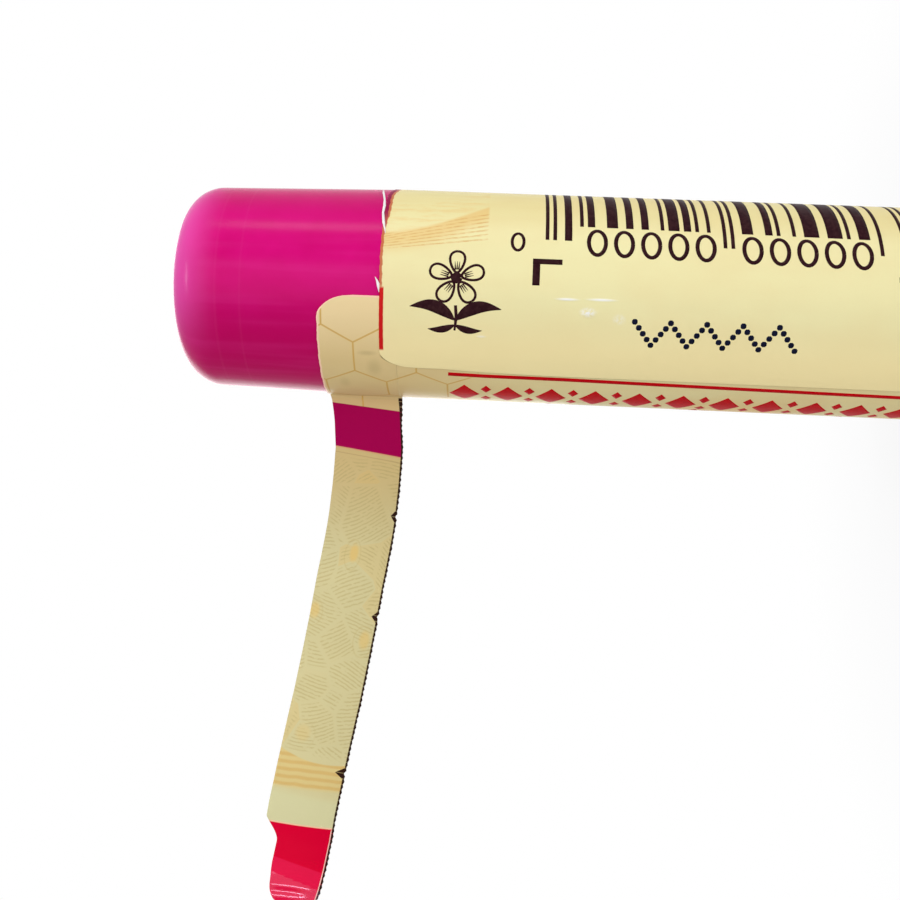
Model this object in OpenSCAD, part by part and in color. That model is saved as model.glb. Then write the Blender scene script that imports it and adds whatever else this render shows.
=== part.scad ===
// Twist-up balm stick, standing upright on its turning wheel.
// Origin: centre of the wheel's flat base. +Z runs along the stick, cap up.
// The label's tear strip hangs off the side at -X, and -Y is the printed front.

/* [Barrel] */
// Outside diameter of the barrel
barrel_d = 15.8; // [14:0.1:20]
// Length of the barrel's outer wall, from the wheel to the shoulder under the cap
barrel_len = 45.2; // [44:0.1:50]
// Diameter of the bore that the stick slides in
bore_d = 12.0; // [11.9:0.05:12.3]
// Outside diameter of the neck that the cap slides over
neck_d = 13.6; // [13.2:0.1:13.7]
// Height of the neck above the shoulder
neck_len = 10.4; // [7:0.1:12]
// Height that the snap ring stands out from the neck
neck_ring_h = 0.1; // [0.04:0.01:0.14]
// Width of the snap ring along the neck
neck_ring_w = 0.8; // [0.4:0.1:1.6]
// Height of the snap ring above the shoulder
neck_ring_z = 2.4; // [1.5:0.1:4]
// Bevel inside and outside the neck's rim
neck_bevel = 0.3; // [0.1:0.05:0.4]
// Thickness of the barrel's floor
floor_t = 1.6; // [1:0.1:2.5]
// Width of the guide ribs inside the bore
guide_w = 1.0; // [0.6:0.1:2]
// Height of the guide ribs inside the bore
guide_h = 0.5; // [0.3:0.05:0.8]
// Distance that the guide ribs stop below the rim of the neck
guide_stop = 1.2; // [0.5:0.1:4]

/* [Cap] */
// Length of the cap
cap_len = 15.6; // [15:0.1:24]
// Outside diameter at the cap's mouth
cap_mouth_d = 15.88; // [15.5:0.02:15.9]
// Outside diameter that the drafted side would reach at the closed end
cap_end_d = 15.3; // [14.8:0.05:15.8]
// Radius of the rounding round the closed end
cap_round_r = 2.7; // [1:0.1:4]
// Diameter of the cap's bore at the mouth
cap_bore_d = 14.3; // [14.1:0.05:14.6]
// Diameter that the drafted bore would reach at the ceiling
cap_bore_end_d = 13.9; // [13.8:0.05:14.1]
// Radius of the rounding round the ceiling
cap_inner_round_r = 1.9; // [0.8:0.1:2.1]
// Thickness of the closed end
cap_end_t = 1.2; // [0.8:0.1:1.3]
// Number of grip ribs inside the cap
cap_ribs = 6; // [3:1:12]
// Width of a grip rib
cap_rib_w = 0.7; // [0.4:0.1:1.2]
// Distance of the grip ribs from the cap's mouth
cap_rib_z = 3.6; // [3.4:0.1:5]
// Length of the grip ribs
cap_rib_len = 5; // [2:0.5:6]

/* [Turning wheel] */
// Outside diameter of the turning wheel
wheel_d = 16.0; // [14:0.1:20]
// Height of the turning wheel
wheel_h = 6.2; // [4:0.1:10]
// Bevel round the wheel's bottom and top edges
wheel_bevel = 0.4; // [0.2:0.05:1]
// Number of grip grooves round the wheel
grooves = 40; // [12:1:48]
// Radius of a grip groove
groove_r = 0.4; // [0.2:0.05:0.5]
// Depth of a grip groove
groove_depth = 0.25; // [0.1:0.05:0.3]
// Plain band left below and above the grooves
groove_band = 0.9; // [0.5:0.1:1.5]
// Inner diameter of the ring groove in the base
base_ring_in_d = 8.6; // [6:0.1:10]
// Outer diameter of the ring groove in the base
base_ring_out_d = 12.4; // [11:0.1:14]
// Depth of the ring groove in the base
base_ring_depth = 0.5; // [0.2:0.1:1.5]
// Diameter of the hub that runs in the barrel's floor
hub_d = 5.8; // [5.4:0.1:6]
// Diameter of the snap collar above the barrel's floor
snap_d = 6.5; // [6.4:0.1:7]
// Height of the snap collar
snap_h = 1.2; // [0.8:0.1:1.4]

/* [Screw] */
// Core diameter of the screw
screw_core_d = 3.1; // [2.6:0.1:3.2]
// Depth of the screw's thread
thread_depth = 0.6; // [0.3:0.05:0.7]
// Rise of the thread in one turn
lead = 4.75; // [4:0.25:6]
// Height of the screw's tip above the base
screw_top = 54.0; // [50:0.5:55]
// Length of the plain point at the tip
screw_point = 0.8; // [0.4:0.1:1.2]

/* [Elevator] */
// Diameter of the elevator, which slides in the bore
elevator_d = 11.8; // [10.4:0.1:11.8]
// Outside diameter of the nut sleeve under the cup
nut_d = 6.8; // [6.4:0.1:8]
// Length of the nut sleeve
nut_len = 6.4; // [4:0.1:7]
// Thickness of the cup's base
cup_base_t = 1.2; // [0.8:0.1:2]
// Height of the cup's rim above its base
cup_rim_h = 4.3; // [2:0.1:5]
// Thickness of the cup's rim
cup_rim_t = 0.6; // [0.4:0.1:0.8]

/* [Balm] */
// Height of the dome on the stick's tip
dome_h = 3.0; // [1.5:0.1:3.4]
// Distance from the stick's tip to the inside of the cap
head_space = 0.9; // [0.5:0.1:3]

/* [Label] */
// Thickness of the label film
film_t = 0.08; // [0.06:0.01:0.1]
// Height of the label's lower edge above the barrel's lower edge
label_low = 0.5; // [0.2:0.1:4]
// Distance from the barrel's shoulder down to the label's torn upper edge
label_high = 0.04; // [0.02:0.02:1]
// Angle from the front to the inner end of the film, towards the strip, in degrees
lap_start = 9.5; // [4:0.5:20]
// Angle from the front to the outer end of the film, towards the strip, in degrees
lap_end = 49.5; // [40:0.5:60]
// Radius of the film's rounded corners
corner_r = 2.6; // [1:0.1:2.7]
// Height of the flap, which is left of the torn-off band
flap_h = 5.7; // [4:0.1:6]
// Distance from the barrel's shoulder down to the flap's lower edge
flap_low = 1.1; // [0.5:0.1:2]
// Angle from the front to the crease where the strip leaves the flap, in degrees
crease_angle = 92.5; // [88:0.5:95]

/* [Tear strip] */
// Length of the torn strip along its curve, from the crease to the tip
strip_len = 40.4; // [20:0.2:46]
// Width of the strip
strip_w = 5.35; // [4:0.05:5.5]
// Thickness of the strip in its solid
strip_t = 0.1; // [0.08:0.01:0.2]
// Sideways lean of the hanging strip towards the cap, in degrees
strip_lean = 8.9; // [0:0.1:15]
// Angle that the strip swings out towards the front, in degrees
strip_fore = 4.2; // [0:0.1:20]
// Further angle that the curled tip turns through towards the front, in degrees
tip_curl = 55; // [0:1:90]
// Length of the curled tip
curl_len = 4.6; // [3:0.1:8]
// Width that the finger tab loses to the notch beside it
tab_cut = 1.2; // [0:0.05:2]
// Length of the finger tab
tab_len = 7.6; // [6:0.1:10]

/* [Clearances] */
// Gap between the turning wheel and the barrel
wheel_gap = 0.2; // [0.1:0.05:0.4]
// Gap between the cap's mouth and the barrel's shoulder
seam_gap = 0.1; // [0.06:0.02:0.4]
// Radial gap of the hub in the barrel's floor
hub_gap = 0.08; // [0.04:0.01:0.1]
// Axial gap above the barrel's floor, under the snap collar
snap_gap = 0.15; // [0.1:0.05:0.3]
// Axial gap between the snap collar and the elevator
rest_gap = 0.3; // [0.2:0.05:0.6]
// Radial gap of the thread in the nut
thread_gap = 0.14; // [0.1:0.01:0.2]
// Gap on every side of a guide rib
guide_gap = 0.12; // [0.08:0.02:0.3]
// Radial gap of the grip ribs on the neck's snap ring
rib_gap = 0.05; // [0.03:0.01:0.1]
// Gap between two faces that lie on each other
skin_gap = 0.02; // [0.01:0.01:0.04]
// Gap between the strip and the flap at the crease
strip_gap = 0.06; // [0.04:0.01:0.2]

/* [Hidden] */

$fn = 96;
cut = 1.0;
joggle = 0.05;

barrel_r = barrel_d / 2;
bore_r = bore_d / 2;
neck_r = neck_d / 2;
ring_r = neck_r + neck_ring_h;
barrel_z = wheel_h + wheel_gap;
shoulder_z = barrel_z + barrel_len;
neck_top = shoulder_z + neck_len;
floor_top = barrel_z + floor_t;
hub_hole_r = hub_d / 2 + hub_gap;

cap_z = shoulder_z + seam_gap;
cap_top = cap_z + cap_len;
cap_ceiling = cap_top - cap_end_t;

wheel_r = wheel_d / 2;
snap_z = floor_top + snap_gap;
snap_top = snap_z + snap_h;
thread_r = screw_core_d / 2 + thread_depth;
slices_per_turn = 16;
nut_slices_per_turn = 24;
flank_head = 60;
flank_foot = 90;

elevator_z = snap_top + rest_gap;
cup_base_top = elevator_z + nut_len;
cup_base_z = cup_base_top - cup_base_t;
elevator_r = elevator_d / 2;
cup_in_r = elevator_r - cup_rim_t;

balm_tip = cap_ceiling - head_space;
dome_z = balm_tip - dome_h;
dome_r = (elevator_r * elevator_r + dome_h * dome_h) / (2 * dome_h);
balm_bore_r = thread_r + thread_gap;
balm_bore_top = screw_top + rest_gap;

film_in_r = barrel_r + skin_gap;
film_r = film_in_r + film_t;
lap_r = film_r + film_t;
label_z = barrel_z + label_low;
label_top = shoulder_z - label_high;
flap_z = shoulder_z - flap_low;
flap_top = flap_z + flap_h;

rod_steps = 12;
nut_steps = 24;

// The strip starts just outside the crease. Its edges stand this far above the flap's lower edge.
root_rise = 0.1;
root = [
    -(lap_r + strip_gap) * sin(crease_angle),
    -(lap_r + strip_gap) * cos(crease_angle),
    flap_z + root_rise + strip_w / 2
];
tip_r = 1.6;
plain_len = strip_len - tip_r;
strip_steps = 36;
tip_steps = 6;
// Shares of the strip's length where its lean begins and where it is full
lean_shares = [0.12, 0.32];
// Share of the finger tab's length that the notch takes to reach its full depth
notch_share = 0.36;
// Distances along the strip of its stations: even steps, then the rounded tip
stations = concat(
    [for (i = [0 : strip_steps]) plain_len * i / strip_steps],
    [for (i = [1 : tip_steps]) plain_len + tip_r * sin(90 * i / tip_steps)]
);

function smooth(u) = let (c = min(1, max(0, u))) c * c * (3 - 2 * c);

// Height of the thread's profile at an angle from the crest: 1 on the crest, 0 on the core
function crest(a) = min(1, max(0, (flank_foot - abs(a)) / (flank_foot - flank_head)));

module tube(r, inner, z, h) {
    translate([0, 0, z])
        difference() {
            cylinder(r = r, h = h);
            translate([0, 0, -cut]) cylinder(r = inner, h = h + 2 * cut);
        }
}

// Two upright bars on opposite sides of the axis, for the guide ribs and the slots that clear them
module guide_bars(r_in, r_out, w, z, h) {
    for (side = [0, 180])
        rotate([0, 0, side])
            translate([r_in, -w / 2, z])
                cube([r_out - r_in, w, h]);
}

// A threaded rod with one start, wound so that turning it anticlockwise lifts a nut
module thread(core_r, crest_r, h, n, per_turn) {
    outline = [for (i = [0 : n - 1])
        let (a = 360 * i / n, r = core_r + (crest_r - core_r) * crest(a > 180 ? a - 360 : a))
        [r * cos(a), r * sin(a)]];
    linear_extrude(height = h, twist = 360 * h / lead, slices = ceil(per_turn * h / lead), $fn = n)
        polygon(outline);
}

module barrel() {
    color([0.72, 0.05, 0.36])
    difference() {
        union() {
            translate([0, 0, barrel_z]) cylinder(r = barrel_r, h = barrel_len);
            translate([0, 0, shoulder_z - joggle])
                cylinder(r = neck_r, h = neck_len - neck_bevel + joggle);
            translate([0, 0, neck_top - neck_bevel])
                cylinder(r1 = neck_r, r2 = neck_r - neck_bevel, h = neck_bevel);
            translate([0, 0, shoulder_z + neck_ring_z]) cylinder(r = ring_r, h = neck_ring_w);
        }
        difference() {
            translate([0, 0, floor_top]) cylinder(r = bore_r, h = neck_top);
            guide_bars(bore_r - guide_h, barrel_r, guide_w, barrel_z, neck_top - guide_stop - barrel_z);
        }
        translate([0, 0, barrel_z - cut]) cylinder(r = hub_hole_r, h = floor_t + 2 * cut);
    }
}

// Outline of a drafted bullet, from the axis outwards, with the closed end's rounding as an arc
module bullet_outline(mouth_r, end_r, len, round_r) {
    steps = 16;
    polygon(concat(
        [[0, 0], [mouth_r, 0]],
        [for (i = [0 : steps]) let (a = 90 * i / steps)
            [end_r - round_r + round_r * cos(a), len - round_r + round_r * sin(a)]],
        [[0, len]]));
}

module cap() {
    bore_len = cap_len - cap_end_t;
    rib_out_r = cap_bore_d / 2 + joggle;
    color([0.78, 0.06, 0.42])
        translate([0, 0, cap_z]) {
            difference() {
                rotate_extrude() bullet_outline(cap_mouth_d / 2, cap_end_d / 2, cap_len, cap_round_r);
                rotate_extrude()
                    bullet_outline(cap_bore_d / 2, cap_bore_end_d / 2, bore_len, cap_inner_round_r);
            }
            difference() {
                for (i = [0 : cap_ribs - 1])
                    rotate([0, 0, 360 * i / cap_ribs])
                        translate([0, -cap_rib_w / 2, cap_rib_z])
                            cube([rib_out_r, cap_rib_w, cap_rib_len]);
                cylinder(r = ring_r + rib_gap, h = cap_len);
            }
        }
}

module turning_wheel() {
    color([0.72, 0.05, 0.36]) {
        difference() {
            union() {
                cylinder(r1 = wheel_r - wheel_bevel, r2 = wheel_r, h = wheel_bevel);
                translate([0, 0, wheel_bevel]) cylinder(r = wheel_r, h = wheel_h - 2 * wheel_bevel);
                translate([0, 0, wheel_h - wheel_bevel])
                    cylinder(r1 = wheel_r, r2 = wheel_r - wheel_bevel, h = wheel_bevel);
            }
            for (i = [0 : grooves - 1])
                rotate([0, 0, 360 * i / grooves])
                    translate([wheel_r + groove_r - groove_depth, 0, groove_band])
                        cylinder(r = groove_r, h = wheel_h - 2 * groove_band, $fn = 24);
            tube(base_ring_out_d / 2, base_ring_in_d / 2, -cut, base_ring_depth + cut);
        }
        translate([0, 0, wheel_h - joggle])
            cylinder(r = hub_d / 2, h = snap_z - wheel_h + 2 * joggle);
        translate([0, 0, snap_z])
            cylinder(r1 = snap_d / 2, r2 = thread_r, h = snap_h);
        translate([0, 0, snap_top - joggle])
            thread(screw_core_d / 2, thread_r, screw_top - screw_point - snap_top + joggle,
                rod_steps, slices_per_turn);
        translate([0, 0, screw_top - screw_point - joggle])
            cylinder(r1 = screw_core_d / 2, r2 = screw_core_d / 4, h = screw_point + joggle);
    }
}

module elevator() {
    color([0.93, 0.92, 0.88])
    difference() {
        union() {
            translate([0, 0, elevator_z]) cylinder(r = nut_d / 2, h = nut_len);
            translate([0, 0, cup_base_z]) cylinder(r = elevator_r, h = cup_base_t);
            tube(elevator_r, cup_in_r, cup_base_z + joggle, cup_base_t - joggle + cup_rim_h);
        }
        translate([0, 0, elevator_z - lead / 2])
            rotate([0, 0, -360 * (elevator_z - lead / 2 - snap_top + joggle) / lead])
                thread(screw_core_d / 2 + thread_gap, thread_r + thread_gap, nut_len + lead,
                    nut_steps, nut_slices_per_turn);
        guide_bars(bore_r - guide_h - guide_gap, barrel_r, guide_w + 2 * guide_gap, 0, cap_top);
    }
}

module balm() {
    color([0.94, 0.88, 0.72])
    difference() {
        union() {
            translate([0, 0, cup_base_top]) cylinder(r = elevator_r, h = dome_z - cup_base_top);
            intersection() {
                translate([0, 0, dome_z - joggle]) cylinder(r = elevator_r, h = dome_h + 2 * joggle);
                translate([0, 0, balm_tip - dome_r]) sphere(r = dome_r);
            }
        }
        tube(barrel_r, cup_in_r - skin_gap, cup_base_top - cut, cup_rim_h + cut + skin_gap);
        cylinder(r = balm_bore_r, h = balm_bore_top);
        guide_bars(bore_r - guide_h - guide_gap, barrel_r, guide_w + 2 * guide_gap, 0, cap_top);
    }
}

// A block that covers a range of angles on the film, measured from the front towards the strip
module wedge(from, to, z, h) {
    near = barrel_r / 2;
    far = 2 * barrel_r;
    corner_angles = [from, (2 * from + to) / 3, (from + 2 * to) / 3, to];
    translate([0, 0, z])
        linear_extrude(height = h)
            polygon(concat(
                [for (a = corner_angles) [-far * sin(a), -far * cos(a)]],
                [for (i = [3 : -1 : 0]) [-near * sin(corner_angles[i]), -near * cos(corner_angles[i])]]
            ));
}

// A cutter that rounds a corner of the film. Side is 1 at the end further round towards the strip
// and -1 at the nearer end, and up is 1 at an upper edge and -1 at a lower one. The rounding's
// middle stands a little nearer the edges than its radius, so that it crosses them.
module corner_cutter(angle, z, side, up) {
    inset = corner_r - joggle;
    reach = barrel_r + corner_r;
    turn = asin(inset / lap_r);
    rotate([0, 0, side * turn - angle])
        translate([0, 0, z - up * inset])
            rotate([90, 0, 0])
                difference() {
                    translate([side > 0 ? -corner_r - cut : 0, up > 0 ? 0 : -corner_r - cut, 0])
                        cube([corner_r + cut, corner_r + cut, reach]);
                    translate([0, 0, -cut]) cylinder(r = corner_r, h = reach + 2 * cut);
                }
}

// The film's outer layer: the overlap down the barrel, and the flap above it as far as the crease.
// It bites half a film into the inner layer, and above that layer it clears the cap.
module outer_layer() {
    bite_r = film_r - film_t / 2;
    difference() {
        intersection() {
            union() {
                tube(lap_r, bite_r, label_z, label_top - label_z);
                tube(lap_r, film_r, label_top, flap_top - label_top);
            }
            union() {
                wedge(lap_start, lap_end, label_z - cut, flap_top - label_z + 2 * cut);
                wedge(lap_start, crease_angle, flap_z, flap_h + cut);
            }
        }
        corner_cutter(lap_end, label_z, 1, -1);
        corner_cutter(lap_start, flap_top, -1, 1);
    }
}

module label() {
    color([0.91, 0.84, 0.62]) {
        tube(film_r, film_in_r, label_z, label_top - label_z);
        outer_layer();
    }
}

// Angle that the strip leans towards the cap, at a distance along it
function lean(u) =
    strip_lean * smooth((u / strip_len - lean_shares[0]) / (lean_shares[1] - lean_shares[0]));

// Angle that the strip's heading has turned towards the front, at a distance along it
function fore(u) = strip_fore + tip_curl * max(0, u - strip_len + curl_len) / curl_len;

function heading(u) = [-cos(lean(u)) * cos(fore(u)), -cos(lean(u)) * sin(fore(u)), sin(lean(u))];
function across(u) = [sin(lean(u)) * cos(fore(u)), sin(lean(u)) * sin(fore(u)), cos(lean(u))];
function outward(u) = [sin(fore(u)), -cos(fore(u)), 0];

// The step that leads to a station from the one before it
function stride(i) =
    (stations[i] - stations[i - 1]) * heading((stations[i] + stations[i - 1]) / 2);

// Width lost at both edges by the rounded tip, and at the cap-side edge by the notch of the tab
function tip_loss(u) = u <= plain_len ? 0 : tip_r - sqrt(max(0, tip_r * tip_r - pow(u - plain_len, 2)));
function notch_loss(u) = tab_cut * smooth((u - strip_len + tab_len) / (notch_share * tab_len));

// The four corners of the strip's cross-section at a station, given its middle
function corners(mid, u) = [
    for (c = [[1, 1], [1, -1], [-1, -1], [-1, 1]])
        mid
            + (c[0] > 0 ? strip_w / 2 - tip_loss(u) - notch_loss(u) : tip_loss(u) - strip_w / 2) * across(u)
            + c[1] * strip_t / 2 * outward(u)
];

module tear_strip() {
    last = len(stations) - 1;
    middles = [
        for (i = 0, p = root; i <= last; i = i + 1, p = i > last ? p : p + stride(i)) p
    ];
    points = [for (i = [0 : last]) each corners(middles[i], stations[i])];
    sides = [
        for (i = [0 : last - 1], k = [0 : 3])
            let (a = 4 * i + k, b = 4 * i + (k + 1) % 4)
            each [[a, b, b + 4], [a, b + 4, a + 4]]
    ];
    ends = [
        [0, 2, 1], [0, 3, 2],
        [4 * last, 4 * last + 1, 4 * last + 2], [4 * last, 4 * last + 2, 4 * last + 3]
    ];
    color([0.88, 0.82, 0.60]) polyhedron(points = points, faces = concat(sides, ends));
}

cap();
barrel();
turning_wheel();
elevator();
balm();
label();
tear_strip();
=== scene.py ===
import math
import random

import bpy
from mathutils import Matrix, Vector


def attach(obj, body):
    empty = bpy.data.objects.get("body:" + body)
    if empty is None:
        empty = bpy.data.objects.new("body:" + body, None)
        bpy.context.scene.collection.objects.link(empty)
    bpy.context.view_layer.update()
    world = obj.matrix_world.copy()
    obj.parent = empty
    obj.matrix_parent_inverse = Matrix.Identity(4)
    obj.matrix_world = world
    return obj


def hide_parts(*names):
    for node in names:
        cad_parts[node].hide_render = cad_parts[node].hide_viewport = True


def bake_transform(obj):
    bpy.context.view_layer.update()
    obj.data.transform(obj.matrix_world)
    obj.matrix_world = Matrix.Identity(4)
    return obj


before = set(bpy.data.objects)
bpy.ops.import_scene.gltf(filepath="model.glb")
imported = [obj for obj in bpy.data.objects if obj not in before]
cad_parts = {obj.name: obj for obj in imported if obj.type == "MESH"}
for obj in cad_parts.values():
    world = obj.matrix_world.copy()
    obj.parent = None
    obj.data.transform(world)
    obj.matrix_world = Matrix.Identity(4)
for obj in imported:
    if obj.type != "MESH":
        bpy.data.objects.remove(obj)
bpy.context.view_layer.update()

MM = 0.001
AXIS_Z = 47.11          # height of the camera's aim point on the axis; s = AXIS_Z - z
ARC = 8.04 * math.pi / 180   # mm of film per degree round the barrel

# sizes shared with the CAD model, mm and degrees
CAP_Z, CAP_LEN, CAP_MOUTH_R, CAP_END_R = 51.7, 15.6, 7.94, 7.65
CAP_ROUND, CAP_BORE_R, CAP_BORE_END_R, CAP_INNER_ROUND, CAP_END_T = 2.7, 7.15, 6.95, 1.9, 1.2
CAP_RIBS, RIB_W, RIB_Z, RIB_LEN, RIB_R = 6, 0.7, 3.6, 5.0, 6.95
LABEL_Z, CREASE = 6.9, 92.5
STRIP_LEN, STRIP_W, STRIP_LEAN, STRIP_FORE = 40.4, 5.35, 8.9, 4.2
TIP_CURL, CURL_LEN, TAB_CUT, TAB_LEN, TIP_R = 75.0, 4.6, 1.15, 7.3, 1.7
LEAN_SHARES, STRIP_END = (0.12, 0.32), 39.5
ROOT = Vector((-8.132, 0.355, 53.275))     # where the strip starts, in the middle of its width

# the film as it is shown, mm and degrees
FILM = 0.05
INNER_R, LAP_R, FLAP_R = 7.98, 8.07, 8.007
LAP_START, LAP_END, EDGE_Z = 9.5, 49.5, 51.72
WRAP_END = 360 + LAP_END
LAP_CORNER, CORNER_R = 398.5, 2.6   # angle where the overlap's corner starts, and how far its corners drop
UNDER_EDGE_Z = 50.58                # upper edge of the layer beneath the flap
FLAP_LOW, FLAP_HIGH = 50.5, 56.2
STRIP_MID = 6.165                   # the strip's middle lies at s = -STRIP_MID
# nicks in the strip's torn edge: where along it, how deep, and how far the painted shadow line along that
# edge reaches in past the cut
NICKS = ((9.0, 0.12, 0.2), (16.7, 0.12, 0.26), (28.8, 0.1, 0.56))


def smooth(u):
    c = min(1.0, max(0.0, u))
    return c * c * (3 - 2 * c)


def lerp_table(table, x):
    """Height at x of a line through (x, y) points in rising order."""
    for (x0, y0), (x1, y1) in zip(table, table[1:]):
        if x <= x1:
            return y0 + (y1 - y0) * max(0.0, (x - x0) / (x1 - x0))
    return table[-1][1]


def wobble(x, seed=0.0):
    """A repeatable uneven line, between about -1 and 1."""
    return (math.sin(x * 1.0 + seed) + 0.6 * math.sin(x * 2.37 + 1.3 * seed + 0.7)
            + 0.4 * math.sin(x * 5.11 + 2.1 * seed + 1.9)) / 2.0


# Materials

class Paint:
    """A node material around one Principled shader, with short calls for its nodes."""

    def __init__(self, name, colour, rough):
        self.mat = bpy.data.materials.new(name)
        self.mat.use_nodes = True
        self.tree = self.mat.node_tree
        self.bsdf = self.tree.nodes["Principled BSDF"]
        self.set("Base Color", (*colour, 1.0))
        self.set("Roughness", rough)

    def node(self, kind, **props):
        n = self.tree.nodes.new(kind)
        for k, v in props.items():
            setattr(n, k, v)
        return n

    def put(self, socket, value):
        if isinstance(value, bpy.types.NodeSocket):
            self.tree.links.new(value, socket)
        elif value is not None:
            socket.default_value = value

    def set(self, socket, value):
        self.put(self.bsdf.inputs[socket], value)

    def calc(self, op, a, b=None):
        n = self.node("ShaderNodeMath", operation=op)
        self.put(n.inputs[0], a)
        self.put(n.inputs[1], b)
        return n.outputs[0]

    def times(self, a, *others):
        for b in others:
            a = self.calc("MULTIPLY", a, b)
        return a

    def plus(self, a, *others):
        for b in others:
            a = self.calc("ADD", a, b)
        return a

    def minus(self, a, b):
        return self.calc("SUBTRACT", a, b)

    def over(self, a, b):
        return self.calc("DIVIDE", a, b)

    def most(self, a, b):
        return self.calc("MAXIMUM", a, b)

    def radius(self, x, y):
        return self.calc("SQRT", self.plus(self.times(x, x), self.times(y, y)))

    def step(self, x, low, high):
        """0 below low, 1 above high, smooth between."""
        n = self.node("ShaderNodeMapRange", interpolation_type="SMOOTHSTEP")
        self.put(n.inputs["Value"], x)
        self.put(n.inputs["From Min"], low)
        self.put(n.inputs["From Max"], high)
        return n.outputs["Result"]

    def fall(self, x, low, high):
        """1 below low, 0 above high, smooth between."""
        return self.minus(1.0, self.step(x, low, high))

    def within(self, x, low, high, soft):
        return self.times(self.step(x, low - soft, low + soft), self.fall(x, high - soft, high + soft))

    def mix(self, factor, a, b):
        n = self.node("ShaderNodeMix", data_type="RGBA")
        self.put(n.inputs[0], factor)
        self.put(n.inputs[6], (*a, 1.0) if isinstance(a, tuple) else a)
        self.put(n.inputs[7], (*b, 1.0) if isinstance(b, tuple) else b)
        return n.outputs[2]

    def wash(self, colour, new, strength, *masks):
        """The colour with a new one laid over it, at a strength, where every mask is 1."""
        return self.mix(self.times(*masks, strength), colour, new)

    def noise(self, vector, scale, detail=3.0, rough=0.5):
        n = self.node("ShaderNodeTexNoise")
        self.put(n.inputs["Vector"], vector)
        n.inputs["Scale"].default_value = scale
        n.inputs["Detail"].default_value = detail
        n.inputs["Roughness"].default_value = rough
        return n.outputs["Fac"]

    def voronoi(self, vector, feature):
        n = self.node("ShaderNodeTexVoronoi", feature=feature)
        self.put(n.inputs["Vector"], vector)
        n.inputs["Scale"].default_value = 1.0
        return n.outputs

    def place(self, vector, scale=(1, 1, 1), turn=0.0):
        n = self.node("ShaderNodeMapping")
        self.put(n.inputs["Vector"], vector)
        n.inputs["Scale"].default_value = scale
        n.inputs["Rotation"].default_value = (0, 0, turn)
        return n.outputs["Vector"]

    def coords(self, kind="Object"):
        return self.node("ShaderNodeTexCoord").outputs[kind]

    def split(self, vector):
        n = self.node("ShaderNodeSeparateXYZ")
        self.put(n.inputs[0], vector)
        return n.outputs[0], n.outputs[1], n.outputs[2]

    def edge_map(self):
        return self.split(self.node("ShaderNodeUVMap", uv_map="edge").outputs["UV"])

    def bump(self, height, strength, distance):
        n = self.node("ShaderNodeBump")
        n.inputs["Strength"].default_value = strength
        n.inputs["Distance"].default_value = distance
        self.put(n.inputs["Height"], height)
        self.set("Normal", n.outputs["Normal"])

    def scatter(self, weight, radius):
        self.set("Subsurface Weight", weight)
        self.set("Subsurface Radius", radius)
        self.set("Subsurface Scale", 1.0)


def srgb(r, g, b):
    def lin(c):
        c /= 255
        return c / 12.92 if c <= 0.04045 else ((c + 0.055) / 1.055) ** 2.4
    return (lin(r), lin(g), lin(b))


def moulded(name, colour, rough, darker, gloss, rings=(), sss=0.0, painted_shade_colour=None):
    """Glossy moulded plastic: faint flow clouding, hairline scratches, soft orange peel, and mould rings;
    given a shade colour it also paints shade, a sheen at the closed end and a streaky sheen.
    """
    p = Paint(name, colour, rough)
    obj = p.coords()
    x, _, z = p.split(obj)
    cloud = p.noise(obj, 160.0, 4.0, 0.55)
    tint = p.mix(p.step(cloud, 0.35, 0.7), colour, darker)
    if painted_shade_colour:
        # painted shade and highlight: darker on the strip's side and a little on the opposite side, a painted
        # lilac sheen at the closed end, and faint pale streaks that are partly a painted streaky sheen
        tint = p.mix(p.fall(x, -5.0 * MM, 0.5 * MM), tint, painted_shade_colour)
        tint = p.wash(tint, painted_shade_colour, 0.4, p.step(x, 4.0 * MM, 6.5 * MM))
        end_sheen = p.step(z, 63.2 * MM, 67.0 * MM)
        tint = p.wash(tint, srgb(238, 108, 200), 0.46, end_sheen, p.step(x, -7.5 * MM, -0.5 * MM))
        streak_sheen = p.noise(p.place(obj, (1, 1, 0.05)), 620.0, 3.0, 0.6)
        tint = p.wash(tint, srgb(226, 60, 150), 0.16, p.step(streak_sheen, 0.5, 0.72))
    height = p.noise(obj, 900.0, 2.0)
    for ring_z, wide in rings:
        off = p.calc("ABSOLUTE", p.minus(z, ring_z * MM))
        line = p.fall(off, wide * 0.5 * MM, wide * MM)
        tint = p.wash(tint, srgb(240, 110, 170), 0.03, line)
        height = p.plus(height, p.times(line, 0.1))
    p.set("Base Color", tint)
    fine = p.noise(p.place(obj, (1, 1, 0.12)), 2700.0, 2.0, 0.6)
    p.set("Roughness", p.plus(p.times(fine, 0.12), rough - 0.06))
    lines = p.noise(p.place(obj, (1, 1, 0.02)), 1500.0, 3.0, 0.6)
    p.bump(p.plus(p.times(lines, 0.3), height), 0.1, 0.00002)
    p.set("Specular IOR Level", gloss)
    if sss:
        p.scatter(sss, (0.0012, 0.0005, 0.0006))
    return p.mat


CREAM, CREAM_WARM, CREAM_LIGHT = srgb(237, 226, 169), srgb(234, 216, 158), srgb(240, 234, 178)
HEX, ORANGE, RED, DARK = srgb(208, 164, 82), srgb(230, 182, 98), srgb(202, 4, 16), srgb(44, 18, 24)
SHADE = srgb(94, 74, 40)
PRINT_GLOSS = 0.015     # specular level of the film's printed side

cap_mat = moulded("cap_gloss", srgb(214, 9, 120), 0.21, srgb(205, 4, 109), 0.045,
                  rings=((63.6, 0.12), (61.8, 0.1)), painted_shade_colour=srgb(188, 2, 90))
barrel_mat = moulded("barrel_gloss", srgb(205, 10, 112), 0.24, srgb(192, 6, 98), 0.08)
elevator_mat = moulded("elevator_satin", srgb(240, 238, 228), 0.42, srgb(230, 226, 214), 0.4, sss=0.1)


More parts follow.
